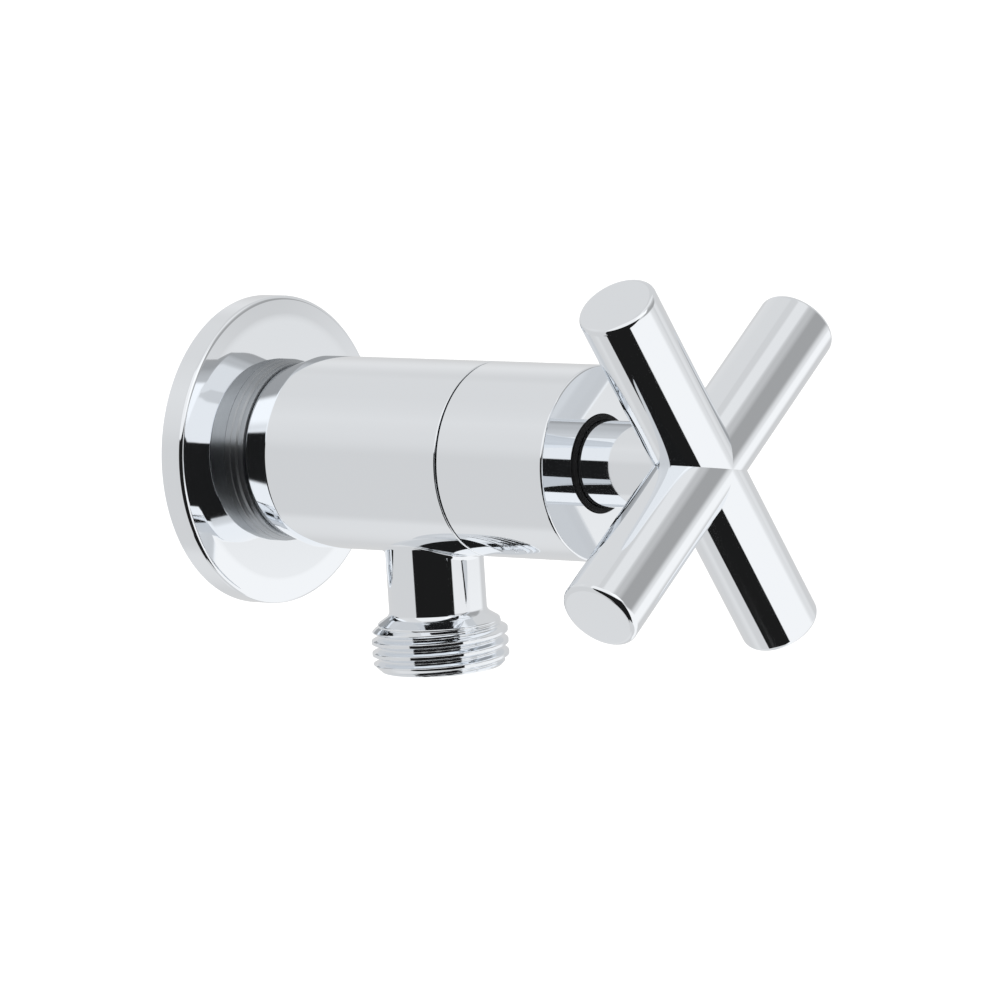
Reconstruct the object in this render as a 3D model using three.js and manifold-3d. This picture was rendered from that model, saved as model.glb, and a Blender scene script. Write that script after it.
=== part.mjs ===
// Wall-mounted angle stop valve, 1/2 inch, with a screw-down headwork and a cross handle.
// Units are millimetres. The wall is the plane y = 0 and the valve stands out from it along -Y.
// +Z is up, and the outlet points straight down. The valve is drawn closed.
import * as THREE from 'three';
import { mergeVertices } from 'three/addons/utils/BufferGeometryUtils.js';
import Module from 'manifold-3d';

const wasm = await Module();
wasm.setup();

// Play left between pieces that touch.
const GAP = 0.3;

// How far a cutter runs past a face, and how far one solid runs into the next it is joined to.
const OVERCUT = 1;
const LAP = 0.5;

// Points closer than this are one point.
const WELD = 1e-5;

// Facets round a turned piece: what is seen, and what is small or inside.
const FINE = 48;
const MEDIUM = 32;
const COARSE = 20;

// Steps along a rounded edge.
const ROUND_STEPS = 3;

// Outside of the valve. Stations are distances forward from the wall.
const FLANGE_RADIUS = 23.9;
const FLANGE_FACE = 4.3;
const FLANGE_WALL = 1.2;
const FLANGE_ROUND = 0.7;
const FLANGE_CROWN = 0.2;
const FLANGE_CROWN_WIDTH = 3.4;
const FLANGE_HOLE = 10.81;
const FLANGE_GASKET_WIDTH = 3;
const COLLAR_RADIUS = 14.1;
const COLLAR_FRONT = 7.5;
const SHOULDER_RADIUS = 13.3;
const SHOULDER_FRONT = 13;
const BODY_RADIUS = 14.8;
const SEAM = 46.2;
const SLEEVE_FRONT = 66.5;
const SLEEVE_WALL = 2;

// Threads on the inlet and the outlet: parallel pipe thread, 14 turns to the inch.
const THREAD_MAJOR = 10.478;
const THREAD_ROOT = 9.316;
const THREAD_PITCH = 1.814;
const THREAD_CREST = 0.3;
const THREAD_SINK = 0.25;
const THREAD_STEPS = 12;
const THREAD_FACETS = 24;
const THREAD_CHAMFER = 1.2;

// Inlet tail, behind the wall plane.
const INLET_END = -9.5;
const NECK_RADIUS = 10.4;
const INLET_BORE = 7.6;
const STRAINER_POCKET = 8.2;
const STRAINER_POCKET_DEPTH = 2;
const STRAINER_FRONT = 2;
const STRAINER_WALL = 0.7;
const STRAINER_FLOOR = 0.8;
const STRAINER_HOLE = 1.5;

// Outlet spout. Heights are measured down from the valve's axis.
const SPOUT_STATION = 33.1;
const SPOUT_RADIUS = 7.5;
const SPOUT_FLARE = 24.2;
const SPOUT_LIP = 25.45;
const SPOUT_LIP_RADIUS = 9.4;
const SPOUT_END = 32.65;
const SPOUT_BORE = 5.6;

// Waterway inside the body.
const WEB_BACK = 17;
const SEAT_BACK = 20;
const SEAT_BODY_RADIUS = 8;
const CHAMBER_BACK = 25;
const CHAMBER_RADIUS = 11;
const THROAT_RADIUS = 5;
const WEB_HOLE = 5.2;
const SEAT_LIP = 27;
const SEAT_LIP_WALL = 1.3;

// Valve plate, which the spindle lifts off the seat.
const PLATE_RADIUS = 7.6;
const PLATE_THICKNESS = 2.4;
const WASHER_RADIUS = 7.3;
const WASHER_THICKNESS = 3;
const WASHER_NUT_HEX = 6.4;
const WASHER_NUT_HEIGHT = 2.2;
const STUD_RADIUS = 1.6;
const STUD_LENGTH = 2.8;
const STEM_RADIUS = 2.5;
const STEM_LENGTH = 8;

// Spindle. The lift ends when its collar meets the back of the bonnet.
const LIFT = 4.4;
const SPINDLE_COLLAR_RADIUS = 7;
const SPINDLE_COLLAR_THICKNESS = 1;
const SPINDLE_THREAD_RADIUS = 5;
const SPINDLE_JOURNAL_RADIUS = 4.3;
const SPINDLE_SQUARE = 5.6;
const SPINDLE_SQUARE_INSET = 2;
const SPINDLE_END = 76.5;

// Bonnet and stuffing box.
const BONNET_FLANGE_RADIUS = 12.3;
const BONNET_FLANGE_THICKNESS = 2.8;
const BONNET_HEX = 19;
const BONNET_HEX_LENGTH = 3.2;
const TOWER_RADIUS = 8;
const BOX_RADIUS = 6.9;
const BOX_BOTTOM = 54.2;
const TOWER_FRONT = 58.3;
const GASKET_THICKNESS = 0.8;
const O_RING_SECTION = 0.55;
const O_RING_FACETS = 6;
const PACKING_WASHER_THICKNESS = 0.8;
const PACKING_THICKNESS = 2;
const FOLLOWER_THICKNESS = 1;
const GLAND_HEX = 18;
const GLAND_WALL = 1;
const GLAND_SKIRT = 4;
const GLAND_STAND = 2;

// Cross handle.
const HANDLE_STATION = 84.7;
const HANDLE_TURN = -11.1;
const ARM_RADIUS = 6.05;
const ARM_REACH = 32.15;
const ARM_ROUND = 0.9;
const HUB_RADIUS = 6.5;
const HUB_BORE = 5.3;
const HUB_BORE_END = 78;
const HUB_HOLE = 7.4;
const GUIDE_RADIUS = 10.5;
const GUIDE_THICKNESS = 1.6;
const GUIDE_PROUD = 0.4;

// Grub screw, in line with the lower right arm.
const GRUB_DIRECTION = HANDLE_TURN - 45;
const GRUB_STATION = 70.5;
const GRUB_RADIUS = 1.8;
const GRUB_INSET = 0.3;
const GRUB_HEX = 1.7;
const GRUB_HEX_DEPTH = 1.6;

// Stations worked out from the sizes above.
const WASHER_BACK = SEAT_LIP + GAP;
const PLATE_BACK = WASHER_BACK + WASHER_THICKNESS + GAP;
const PLATE_FRONT = PLATE_BACK + PLATE_THICKNESS;
const SPINDLE_BACK = PLATE_FRONT + GAP;
const SPINDLE_COLLAR_FRONT = SPINDLE_BACK + SPINDLE_COLLAR_THICKNESS;
const BONNET_BACK = SPINDLE_COLLAR_FRONT + LIFT + GAP;
const BONNET_FLANGE_BACK = SEAM + GASKET_THICKNESS + 2 * GAP;
const BONNET_FLANGE_FRONT = BONNET_FLANGE_BACK + BONNET_FLANGE_THICKNESS;
const BONNET_HEX_FRONT = BONNET_FLANGE_FRONT + BONNET_HEX_LENGTH;
const SPINDLE_THREAD_FRONT = BOX_BOTTOM - LIFT - GAP;
const PACKING_BACK = BOX_BOTTOM + GAP;
const SOFT_PACKING_BACK = PACKING_BACK + PACKING_WASHER_THICKNESS + GAP;
const FOLLOWER_BACK = SOFT_PACKING_BACK + PACKING_THICKNESS + GAP;
const GLAND_FRONT = TOWER_FRONT + GLAND_STAND;
const HUB_BACK = GLAND_FRONT + GAP;
const SQUARE_BACK = HUB_BACK + SPINDLE_SQUARE_INSET;
const SQUARE_TURN = -THREE.MathUtils.degToRad(HANDLE_TURN);
const SLEEVE_BORE = BODY_RADIUS - SLEEVE_WALL;

const LOOKS = {
  chrome: { color: 0xd5d8dc, metalness: 1, roughness: 0.08 },
  satin: { color: 0x6f7478, metalness: 1, roughness: 0.35 },
  brass: { color: 0xb8953f, metalness: 1, roughness: 0.35 },
  steel: { color: 0xb9bcc0, metalness: 1, roughness: 0.3 },
  black: { color: 0x101112, metalness: 0, roughness: 0.5 },
  ivory: { color: 0xe6e2d6, metalness: 0, roughness: 0.5 },
  rubber: { color: 0x1a1a1b, metalness: 0, roughness: 0.8 },
  fibre: { color: 0x9c3f31, metalness: 0, roughness: 0.8 },
  graphite: { color: 0x3a3c3f, metalness: 0, roughness: 0.7 },
};

// ---------------------------------------------------------------- solids

// A manifold solid from any closed three.js geometry, whichever way its faces turn.
function solidFrom(geometry) {
  const bare = new THREE.BufferGeometry();
  bare.setAttribute('position', geometry.getAttribute('position'));
  bare.setIndex(geometry.getIndex());
  const merged = mergeVertices(bare, WELD);
  const vertices = merged.getAttribute('position').array;
  const triangles = dropDegenerate(merged.getIndex().array);
  if (signedVolume(vertices, triangles) < 0) triangles.reverse();
  const mesh = new wasm.Mesh({
    numProp: 3,
    vertProperties: new Float32Array(vertices),
    triVerts: new Uint32Array(triangles),
  });
  return new wasm.Manifold(mesh);
}

// Triangles that still have three different corners.
function dropDegenerate(index) {
  const kept = [];
  for (let i = 0; i < index.length; i += 3) {
    const [a, b, c] = [index[i], index[i + 1], index[i + 2]];
    if (a !== b && b !== c && c !== a) kept.push(a, b, c);
  }
  return kept;
}

// Volume inside the triangles, negative when they are wound inwards.
function signedVolume(vertices, triangles) {
  const corner = (k) => new THREE.Vector3().fromArray(vertices, 3 * triangles[k]);
  let sum = 0;
  for (let i = 0; i < triangles.length; i += 3) {
    sum += corner(i).dot(corner(i + 1).cross(corner(i + 2)));
  }
  return sum / 6;
}

// A solid turned about the valve's axis. Each point is [radius, station].
// A profile starts and ends on the axis, or is closed here into a ring.
function turned(profile, facets) {
  const points = profile.map(([radius, station]) => new THREE.Vector2(radius, -station));
  const onAxis = profile[0][0] === 0 && profile.at(-1)[0] === 0;
  if (!onAxis) points.push(points[0].clone());
  return solidFrom(new THREE.LatheGeometry(points, facets));
}

// A plain ring about the valve's axis.
function ring(inner, outer, back, front, facets) {
  return turned([[inner, back], [outer, back], [outer, front], [inner, front]], facets);
}

// A plain rod about the valve's axis.
function rod(radius, back, front, facets) {
  return turned([[0, back], [radius, back], [radius, front], [0, front]], facets);
}

// A regular prism about the valve's axis, given its size across flats.
function prism(sides, acrossFlats, back, front, turn = 0) {
  const radius = acrossFlats / 2 / Math.cos(Math.PI / sides);
  const geometry = new THREE.CylinderGeometry(radius, radius, front - back, sides);
  geometry.rotateY(turn);
  geometry.translate(0, -(back + front) / 2, 0);
  return solidFrom(geometry);
}

// Points along an arc from one angle to another, in degrees, for a turned profile.
function arc(centreRadius, centreStation, size, from, to, steps) {
  return Array.from({ length: steps + 1 }, (_, i) => {
    const angle = THREE.MathUtils.degToRad(from + (to - from) * i / steps);
    return [centreRadius + size * Math.cos(angle), centreStation + size * Math.sin(angle)];
  });
}

// The same solid turned about the outlet's axis: stations become depths below the valve's axis.
function onSpout(solid) {
  return solid.rotate([90, 0, 0]).translate([0, -SPOUT_STATION, 0]);
}

// A helical thread ridge about the valve's axis, from one station to another, right-handed.
function threadRidge(back, front) {
  const turns = (front - back) / THREAD_PITCH;
  const steps = Math.round(turns * THREAD_STEPS);
  const root = { radius: THREAD_ROOT - THREAD_SINK, width: THREAD_PITCH - THREAD_CREST };
  const crest = { radius: THREAD_MAJOR, width: THREAD_CREST };
  const geometry = new THREE.BoxGeometry(1, 1, 1, 1, 1, steps);
  const places = geometry.getAttribute('position');
  for (let i = 0; i < places.count; i += 1) {
    const along = places.getZ(i) + 0.5;
    const edge = places.getX(i) < 0 ? root : crest;
    const angle = -along * turns * 2 * Math.PI;
    const station = back + along * (front - back) + places.getY(i) * edge.width;
    places.setXYZ(i, edge.radius * Math.cos(angle), -station, edge.radius * Math.sin(angle));
  }
  return solidFrom(geometry);
}

// A thread with its core, cut to a bevel where it starts at the open end.
function threadedStub(end, inner) {
  const bevel = end < inner ? THREAD_CHAMFER : -THREAD_CHAMFER;
  const [back, front] = [Math.min(end, inner), Math.max(end, inner)];
  const overrun = THREAD_PITCH / 2;
  const envelope = turned([
    [0, end],
    [THREAD_MAJOR - THREAD_CHAMFER, end],
    [THREAD_MAJOR, end + bevel],
    [THREAD_MAJOR + OVERCUT, inner],
    [0, inner],
  ], THREAD_FACETS);
  const ridge = threadRidge(back - overrun, front + overrun).intersect(envelope);
  const land = turned([
    [0, end],
    [THREAD_MAJOR - THREAD_CHAMFER, end],
    [THREAD_ROOT, end + bevel],
    [THREAD_ROOT, inner],
    [0, inner],
  ], THREAD_FACETS);
  return land.add(ridge);
}

// ---------------------------------------------------------------- pieces against the wall

function wallFlange() {
  const inside = FLANGE_RADIUS - FLANGE_WALL;
  const rim = FLANGE_RADIUS - FLANGE_ROUND;
  const rimFront = FLANGE_FACE - FLANGE_CROWN;
  const crown = FLANGE_RADIUS - FLANGE_CROWN_WIDTH;
  return turned([
    [inside, 0],
    [FLANGE_RADIUS, 0],
    ...arc(rim, rimFront - FLANGE_ROUND, FLANGE_ROUND, 0, 90, ROUND_STEPS),
    [crown, FLANGE_FACE],
    [FLANGE_HOLE, FLANGE_FACE],
    [FLANGE_HOLE, FLANGE_FACE - FLANGE_WALL],
    [crown, FLANGE_FACE - FLANGE_WALL],
    [inside, rimFront - FLANGE_WALL],
  ], FINE);
}

function flangeGasket() {
  const outer = FLANGE_RADIUS - FLANGE_WALL - GAP;
  const front = FLANGE_FACE - FLANGE_CROWN - FLANGE_WALL - GAP;
  return ring(outer - FLANGE_GASKET_WIDTH, outer, 0, front, MEDIUM);
}

function flangeCollar() {
  const bevel = 0.3;
  return turned([
    [NECK_RADIUS + GAP, FLANGE_FACE + GAP],
    [COLLAR_RADIUS, FLANGE_FACE + GAP],
    [COLLAR_RADIUS, COLLAR_FRONT - bevel],
    [COLLAR_RADIUS - bevel, COLLAR_FRONT],
    [NECK_RADIUS + GAP, COLLAR_FRONT],
  ], FINE);
}

function inletStrainer() {
  const rimFront = INLET_END + STRAINER_POCKET_DEPTH - GAP;
  const outer = INLET_BORE - GAP;
  const inner = outer - STRAINER_WALL;
  const floorBack = STRAINER_FRONT - STRAINER_FLOOR;
  const cup = turned([
    [inner, INLET_END + GAP],
    [STRAINER_POCKET - GAP, INLET_END + GAP],
    [STRAINER_POCKET - GAP, rimFront],
    [outer, rimFront],
    [outer, STRAINER_FRONT],
    [0, STRAINER_FRONT],
    [0, floorBack],
    [inner, floorBack],
  ], MEDIUM);
  const holes = [];
  for (const [count, radius] of [[1, 0], [6, 2.3], [12, 4.6]]) {
    for (let i = 0; i < count; i += 1) {
      const angle = 2 * Math.PI * i / count;
      const hole = prism(6, STRAINER_HOLE, floorBack - OVERCUT, STRAINER_FRONT + OVERCUT);
      holes.push(hole.translate([radius * Math.cos(angle), 0, radius * Math.sin(angle)]));
    }
  }
  return holes.reduce((solid, hole) => solid.subtract(hole), cup);
}

// ---------------------------------------------------------------- body and waterway

// The shoulder behind the body swells from its edge at the collar to the full radius.
function shoulderArc() {
  const rise = BODY_RADIUS - SHOULDER_RADIUS;
  const run = SHOULDER_FRONT - COLLAR_FRONT - GAP;
  const size = (rise * rise + run * run) / (2 * rise);
  const start = -THREE.MathUtils.radToDeg(Math.asin(run / size));
  return arc(BODY_RADIUS - size, SHOULDER_FRONT, size, start, 0, ROUND_STEPS);
}

function valveBody() {
  const barrel = turned([
    [0, 0],
    [NECK_RADIUS, 0],
    [NECK_RADIUS, COLLAR_FRONT + GAP],
    ...shoulderArc(),
    [BODY_RADIUS, SEAM],
    [0, SEAM],
  ], FINE);
  const spout = onSpout(turned([
    [0, BODY_RADIUS / 2],
    [SPOUT_RADIUS, BODY_RADIUS / 2],
    [SPOUT_RADIUS, SPOUT_FLARE],
    [SPOUT_LIP_RADIUS, SPOUT_LIP],
    [SPOUT_LIP_RADIUS, SPOUT_LIP + LAP],
    [0, SPOUT_LIP + LAP],
  ], FINE));
  const inlet = threadedStub(INLET_END, LAP);
  const outlet = onSpout(threadedStub(SPOUT_END, SPOUT_LIP));
  const waterway = turned([
    [0, INLET_END - OVERCUT],
    [STRAINER_POCKET, INLET_END - OVERCUT],
    [STRAINER_POCKET, INLET_END + STRAINER_POCKET_DEPTH],
    [INLET_BORE, INLET_END + STRAINER_POCKET_DEPTH],
    [INLET_BORE, WEB_BACK],
    [WEB_HOLE, WEB_BACK],
    [WEB_HOLE, SEAT_BACK],
    [SEAT_BODY_RADIUS + GAP, SEAT_BACK],
    [SEAT_BODY_RADIUS + GAP, CHAMBER_BACK],
    [CHAMBER_RADIUS, CHAMBER_BACK],
    [CHAMBER_RADIUS, SEAM + OVERCUT],
    [0, SEAM + OVERCUT],
  ], MEDIUM);
  const outletBore = onSpout(rod(SPOUT_BORE, 0, SPOUT_END + OVERCUT, MEDIUM));
  return barrel.add(spout).add(inlet).add(outlet).subtract(waterway).subtract(outletBore);
}

function valveSeat() {
  const lipRadius = THROAT_RADIUS + SEAT_LIP_WALL;
  return turned([
    [THROAT_RADIUS, SEAT_BACK + GAP],
    [SEAT_BODY_RADIUS, SEAT_BACK + GAP],
    [SEAT_BODY_RADIUS, CHAMBER_BACK + GAP],
    [lipRadius, CHAMBER_BACK + GAP],
    [lipRadius, SEAT_LIP],
    [THROAT_RADIUS, SEAT_LIP],
  ], MEDIUM);
}

// ---------------------------------------------------------------- valve plate

function tapWasher() {
  return ring(STUD_RADIUS + GAP, WASHER_RADIUS, WASHER_BACK, WASHER_BACK + WASHER_THICKNESS, COARSE);
}

function jumperValve() {
  return turned([
    [0, WASHER_BACK - STUD_LENGTH],
    [STUD_RADIUS, WASHER_BACK - STUD_LENGTH],
    [STUD_RADIUS, PLATE_BACK],
    [PLATE_RADIUS, PLATE_BACK],
    [PLATE_RADIUS, PLATE_FRONT],
    [STEM_RADIUS, PLATE_FRONT],
    [STEM_RADIUS, PLATE_FRONT + STEM_LENGTH],
    [0, PLATE_FRONT + STEM_LENGTH],
  ], COARSE);
}

function washerNut() {
  const front = WASHER_BACK - GAP;
  const hole = rod(STUD_RADIUS + GAP, 0, SEAM, COARSE);
  return prism(6, WASHER_NUT_HEX, front - WASHER_NUT_HEIGHT, front).subtract(hole);
}

// ---------------------------------------------------------------- spindle and headwork

function spindle() {
  const bevel = 0.6;
  const socket = STEM_RADIUS + GAP;
  const socketFront = PLATE_FRONT + STEM_LENGTH + GAP;
  const turnedPart = turned([
    [socket, SPINDLE_BACK],
    [SPINDLE_COLLAR_RADIUS, SPINDLE_BACK],
    [SPINDLE_COLLAR_RADIUS, SPINDLE_COLLAR_FRONT],
    [SPINDLE_THREAD_RADIUS, SPINDLE_COLLAR_FRONT],
    [SPINDLE_THREAD_RADIUS, SPINDLE_THREAD_FRONT - bevel],
    [SPINDLE_JOURNAL_RADIUS, SPINDLE_THREAD_FRONT],
    [SPINDLE_JOURNAL_RADIUS, SQUARE_BACK],
    [0, SQUARE_BACK],
    [0, socketFront],
    [socket, socketFront],
  ], COARSE);
  return turnedPart.add(prism(4, SPINDLE_SQUARE, SQUARE_BACK - LAP, SPINDLE_END, SQUARE_TURN));
}

function bonnet() {
  const grooveMiddle = (BONNET_FLANGE_BACK + BONNET_FLANGE_FRONT) / 2;
  const grooveHalf = O_RING_SECTION + GAP;
  const grooveRadius = SLEEVE_BORE - 2 * GAP - 2 * O_RING_SECTION;
  const bore = SPINDLE_THREAD_RADIUS + GAP;
  const skirt = CHAMBER_RADIUS - GAP;
  const turnedPart = turned([
    [bore, BONNET_BACK],
    [skirt, BONNET_BACK],
    [skirt, BONNET_FLANGE_BACK],
    [BONNET_FLANGE_RADIUS, BONNET_FLANGE_BACK],
    [BONNET_FLANGE_RADIUS, grooveMiddle - grooveHalf],
    [grooveRadius, grooveMiddle - grooveHalf],
    [grooveRadius, grooveMiddle + grooveHalf],
    [BONNET_FLANGE_RADIUS, grooveMiddle + grooveHalf],
    [BONNET_FLANGE_RADIUS, BONNET_FLANGE_FRONT],
    [TOWER_RADIUS, BONNET_FLANGE_FRONT],
    [TOWER_RADIUS, TOWER_FRONT],
    [BOX_RADIUS, TOWER_FRONT],
    [BOX_RADIUS, BOX_BOTTOM],
    [bore, BOX_BOTTOM],
  ], MEDIUM);
  const hex = prism(6, BONNET_HEX, BONNET_FLANGE_FRONT - LAP, BONNET_HEX_FRONT);
  return turnedPart.add(hex.subtract(rod(TOWER_RADIUS - LAP, 0, SLEEVE_FRONT, MEDIUM)));
}

function bonnetGasket() {
  const back = SEAM + GAP;
  return ring(CHAMBER_RADIUS, BONNET_FLANGE_RADIUS, back, back + GASKET_THICKNESS, MEDIUM);
}

// A ring that fits the stuffing box, round the spindle.
function packingRing(back, thickness) {
  return ring(SPINDLE_JOURNAL_RADIUS + GAP, BOX_RADIUS - GAP, back, back + thickness, COARSE);
}

function glandNut() {
  const shell = prism(6, GLAND_HEX, TOWER_FRONT - GLAND_SKIRT, GLAND_FRONT);
  const inside = rod(TOWER_RADIUS + GAP, 0, GLAND_FRONT - GLAND_WALL, COARSE);
  return shell.subtract(inside).subtract(rod(SPINDLE_JOURNAL_RADIUS + GAP, 0, SLEEVE_FRONT, COARSE));
}

function frontSleeve() {
  const bevel = 0.35;
  return turned([
    [SLEEVE_BORE, SEAM + GAP],
    [BODY_RADIUS, SEAM + GAP],
    [BODY_RADIUS, SLEEVE_FRONT - bevel],
    [BODY_RADIUS - bevel, SLEEVE_FRONT],
    [HUB_HOLE, SLEEVE_FRONT],
    [HUB_HOLE, SLEEVE_FRONT - SLEEVE_WALL],
    [SLEEVE_BORE, SLEEVE_FRONT - SLEEVE_WALL],
  ], FINE);
}

function sleeveORing() {
  const middle = (BONNET_FLANGE_BACK + BONNET_FLANGE_FRONT) / 2;
  const centre = SLEEVE_BORE - GAP - O_RING_SECTION;
  const geometry = new THREE.TorusGeometry(centre, O_RING_SECTION, O_RING_FACETS, MEDIUM);
  geometry.rotateX(Math.PI / 2);
  geometry.translate(0, -middle, 0);
  return solidFrom(geometry);
}

function hubGuideRing() {
  const inner = HUB_RADIUS + GAP;
  const stepFront = SLEEVE_FRONT - SLEEVE_WALL - GAP;
  return turned([
    [inner, stepFront - GUIDE_THICKNESS],
    [GUIDE_RADIUS, stepFront - GUIDE_THICKNESS],
    [GUIDE_RADIUS, stepFront],
    [HUB_HOLE - GAP, stepFront],
    [HUB_HOLE - GAP, SLEEVE_FRONT + GUIDE_PROUD],
    [inner, SLEEVE_FRONT + GUIDE_PROUD],
  ], MEDIUM);
}

// ---------------------------------------------------------------- handle

// One bar of the cross: a straight rod through the centre with softened ends.
function crossBar(degrees) {
  const half = ARM_REACH - ARM_ROUND;
  const rounded = arc(ARM_RADIUS - ARM_ROUND, half, ARM_ROUND, 0, 90, ROUND_STEPS - 1);
  const profile = [
    [0, -ARM_REACH],
    ...rounded.map(([radius, station]) => [radius, -station]).reverse(),
    ...rounded,
    [0, ARM_REACH],
  ];
  return turned(profile, FINE / 2)
    .rotate([0, 0, 90])
    .rotate([0, -degrees, 0])
    .translate([0, -HANDLE_STATION, 0]);
}

function crossHandle() {
  const bars = crossBar(HANDLE_TURN + 45).add(crossBar(HANDLE_TURN + 135));
  const hub = rod(HUB_RADIUS, HUB_BACK, HANDLE_STATION, MEDIUM);
  const bore = rod(HUB_BORE, 0, HUB_BORE_END, MEDIUM);
  return bars.add(hub).subtract(bore).subtract(grubHole());
}

// A solid moved from the valve's axis to the grub screw's: stations become distances from the axis.
function onGrub(solid) {
  return solid
    .rotate([0, 0, 90])
    .rotate([0, -GRUB_DIRECTION, 0])
    .translate([0, -GRUB_STATION, 0]);
}

function grubHole() {
  return onGrub(rod(GRUB_RADIUS + GAP, 0, HUB_RADIUS + OVERCUT, COARSE));
}

function handleGrubScrew() {
  const inner = SPINDLE_SQUARE / 2 + GAP;
  const outer = HUB_RADIUS - GRUB_INSET;
  const socket = prism(6, GRUB_HEX, outer - GRUB_HEX_DEPTH, outer + OVERCUT);
  return onGrub(rod(GRUB_RADIUS, inner, outer, COARSE).subtract(socket));
}

function splineInsert() {
  const tube = rod(HUB_BORE - GAP, SQUARE_BACK + GAP, SPINDLE_END + GAP, COARSE);
  const square = prism(4, SPINDLE_SQUARE + 2 * GAP, 0, HUB_BORE_END, SQUARE_TURN);
  return tube.subtract(square).subtract(grubHole());
}

// ---------------------------------------------------------------- assembly

// A named mesh from a manifold solid.
function piece(name, look, solid) {
  const { vertProperties, triVerts } = solid.getMesh();
  const geometry = new THREE.BufferGeometry();
  geometry.setAttribute('position', new THREE.BufferAttribute(vertProperties, 3));
  geometry.setIndex(new THREE.BufferAttribute(triVerts, 1));
  geometry.computeVertexNormals();
  const mesh = new THREE.Mesh(geometry, new THREE.MeshStandardMaterial(LOOKS[look]));
  mesh.name = name;
  return mesh;
}

const wallSide = new THREE.Group();
wallSide.add(
  piece('wall_flange', 'chrome', wallFlange()),
  piece('flange_gasket', 'rubber', flangeGasket()),
  piece('flange_collar', 'satin', flangeCollar()),
  piece('inlet_strainer', 'steel', inletStrainer()),
);

const waterSide = new THREE.Group();
waterSide.add(
  piece('valve_body', 'chrome', valveBody()),
  piece('valve_seat', 'steel', valveSeat()),
  piece('tap_washer', 'rubber', tapWasher()),
  piece('jumper_valve', 'brass', jumperValve()),
  piece('washer_nut', 'brass', washerNut()),
);

const headwork = new THREE.Group();
headwork.add(
  piece('bonnet', 'brass', bonnet()),
  piece('bonnet_gasket', 'fibre', bonnetGasket()),
  piece('spindle', 'brass', spindle()),
  piece('packing_washer', 'brass', packingRing(PACKING_BACK, PACKING_WASHER_THICKNESS)),
  piece('gland_packing', 'graphite', packingRing(SOFT_PACKING_BACK, PACKING_THICKNESS)),
  piece('gland_follower', 'brass', packingRing(FOLLOWER_BACK, FOLLOWER_THICKNESS)),
  piece('gland_nut', 'brass', glandNut()),
  piece('front_sleeve', 'chrome', frontSleeve()),
  piece('sleeve_o_ring', 'rubber', sleeveORing()),
  piece('hub_guide_ring', 'black', hubGuideRing()),
);

const handle = new THREE.Group();
handle.add(
  piece('cross_handle', 'chrome', crossHandle()),
  piece('spline_insert', 'ivory', splineInsert()),
  piece('handle_grub_screw', 'steel', handleGrubScrew()),
);

const valve = new THREE.Group();
valve.add(wallSide, waterSide, headwork, handle);

export default valve;
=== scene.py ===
"""Looks of a wall-mounted angle stop valve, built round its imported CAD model.

Shapes are worked out in millimetres and stored in metres. Stations are distances forward from the wall,
along -Y. Every piece is a closed mesh with exact normals, so polished surfaces reflect cleanly.
"""
import math

import bpy
import numpy as np
from mathutils import Matrix, Vector


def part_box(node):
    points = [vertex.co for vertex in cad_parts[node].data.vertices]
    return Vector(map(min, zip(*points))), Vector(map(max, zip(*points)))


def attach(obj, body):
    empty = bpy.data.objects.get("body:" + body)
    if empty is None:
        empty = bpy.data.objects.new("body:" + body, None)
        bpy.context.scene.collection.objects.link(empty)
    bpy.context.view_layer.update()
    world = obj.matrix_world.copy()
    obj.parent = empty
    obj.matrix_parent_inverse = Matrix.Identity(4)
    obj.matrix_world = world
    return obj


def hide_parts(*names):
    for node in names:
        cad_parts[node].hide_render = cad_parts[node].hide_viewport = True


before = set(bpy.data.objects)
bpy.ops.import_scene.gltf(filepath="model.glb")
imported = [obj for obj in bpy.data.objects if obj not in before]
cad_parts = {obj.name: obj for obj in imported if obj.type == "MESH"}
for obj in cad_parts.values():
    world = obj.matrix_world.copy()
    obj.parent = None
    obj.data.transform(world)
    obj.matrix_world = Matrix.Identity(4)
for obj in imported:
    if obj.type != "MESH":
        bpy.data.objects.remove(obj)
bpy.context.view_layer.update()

MM = 0.001
TAU = 2 * math.pi


# ------------------------------------------------------------------ sizes, read from the frame

def reach(node):
    """Radius about the valve's axis, back station and front station of a CAD node, in millimetres."""
    low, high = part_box(node)
    return high.x / MM, -high.y / MM, -low.y / MM


FLANGE_RADIUS, WALL, FLANGE_FACE = reach("wall_flange")
COLLAR_RADIUS, _, COLLAR_FRONT = reach("flange_collar")
BODY_RADIUS, INLET_END, SEAM = reach("valve_body")
SLEEVE_RADIUS, SLEEVE_BACK, SLEEVE_FRONT = reach("front_sleeve")
GUIDE_RADIUS, GUIDE_BACK, _ = reach("hub_guide_ring")
SPOUT_END = -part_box("valve_body")[0].z / MM
HUB_BACK = -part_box("cross_handle")[1].y / MM
HANDLE_FRONT = -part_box("cross_handle")[0].y / MM

PLAY = 0.3
FLANGE_WALL = 1.2
FLANGE_ROUND = 0.7
FLANGE_CROWN = 0.2
FLANGE_CROWN_WIDTH = 3.4
FLANGE_CROWN_ROUND = 24
FLANGE_HOLE_PLAY = 0.33
COLLAR_STEPS = (5.35, 6.35)
COLLAR_STEP_DEPTHS = (0.15, 0.5)
COLLAR_STEP_SLOPES = (0.12, 0.25)
SHOULDER_RADIUS = 13.3
SHOULDER_BACK = COLLAR_FRONT + PLAY
SHOULDER_FRONT = 13
NECK_RADIUS = 10.4
SLEEVE_WALL = 2
SEAM_ROUND = 0.22
HUB_HOLE = 7.4
GUIDE_PROUD = 0.45
GUIDE_PLAY = 0.05

SPOUT_STATION = 33.1
SPOUT_RADIUS = 7.5
SPOUT_BORE = 5.6
SPOUT_BLEND = 0.9
SPOUT_FLARE = 24.2
SPOUT_LIP = 25.45
SPOUT_LIP_RADIUS = 9.4

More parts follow.
